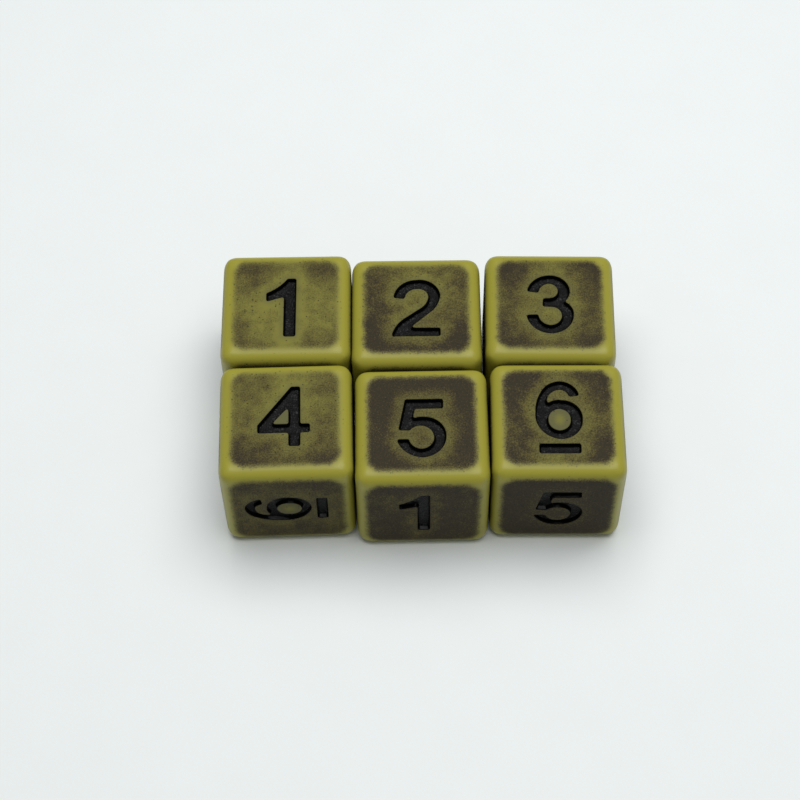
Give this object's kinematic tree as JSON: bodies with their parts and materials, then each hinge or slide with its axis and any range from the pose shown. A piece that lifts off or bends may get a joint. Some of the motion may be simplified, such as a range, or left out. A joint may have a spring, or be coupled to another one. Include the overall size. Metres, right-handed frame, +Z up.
{
  "type": "numeral dice set",
  "caption": "Matching set of opaque numeral dice with rounded edges, sunk black numerals and an antiqued dark wash, standing in two rows; each loose die lifts off.",
  "frame": {"origin": "on the ground, below the middle of the whole set's bounding box", "axes": "+X along a row to the right, +Y from the front row to the back row, +Z up; the front row's outer faces look towards -Y"},
  "size_m": [0.0492, 0.0332, 0.016],
  "materials": {
    "resin": "opaque yellow-olive moulded resin, satin, with a dark antique wash on the flats",
    "paint": "glossy black paint settled in the numerals"
  },
  "bodies": {
    "die_5": {"die_5_body": "resin", "die_5_paint_1": "paint", "die_5_paint_2": "paint", "die_5_paint_3": "paint", "die_5_paint_4": "paint", "die_5_paint_5": "paint", "die_5_paint_6": "paint", "die_5_paint_6_underline": "paint"},
    "die_1": {"die_1_body": "resin", "die_1_paint_1": "paint", "die_1_paint_2": "paint", "die_1_paint_3": "paint", "die_1_paint_4": "paint", "die_1_paint_5": "paint", "die_1_paint_6": "paint", "die_1_paint_6_underline": "paint"},
    "die_2": {"die_2_body": "resin", "die_2_paint_1": "paint", "die_2_paint_2": "paint", "die_2_paint_3": "paint", "die_2_paint_4": "paint", "die_2_paint_5": "paint", "die_2_paint_6": "paint", "die_2_paint_6_underline": "paint"},
    "die_3": {"die_3_body": "resin", "die_3_paint_1": "paint", "die_3_paint_2": "paint", "die_3_paint_3": "paint", "die_3_paint_4": "paint", "die_3_paint_5": "paint", "die_3_paint_6": "paint", "die_3_paint_6_underline": "paint"},
    "die_4": {"die_4_body": "resin", "die_4_paint_1": "paint", "die_4_paint_2": "paint", "die_4_paint_3": "paint", "die_4_paint_4": "paint", "die_4_paint_5": "paint", "die_4_paint_6": "paint", "die_4_paint_6_underline": "paint"},
    "die_6": {"die_6_body": "resin", "die_6_paint_1": "paint", "die_6_paint_2": "paint", "die_6_paint_3": "paint", "die_6_paint_4": "paint", "die_6_paint_5": "paint", "die_6_paint_6": "paint", "die_6_paint_6_underline": "paint"}
  },
  "joints": [
    {"name": "lift_die_1", "type": "slide", "parent": "die_5", "child": "die_1", "axis": [0, 0, 1], "range_m": [0, 0.03]},
    {"name": "lift_die_2", "type": "slide", "parent": "die_5", "child": "die_2", "axis": [0, 0, 1], "range_m": [0, 0.03]},
    {"name": "lift_die_3", "type": "slide", "parent": "die_5", "child": "die_3", "axis": [0, 0, 1], "range_m": [0, 0.03]},
    {"name": "lift_die_4", "type": "slide", "parent": "die_5", "child": "die_4", "axis": [0, 0, 1], "range_m": [0, 0.03]},
    {"name": "lift_die_6", "type": "slide", "parent": "die_5", "child": "die_6", "axis": [0, 0, 1], "range_m": [0, 0.03]}
  ]
}
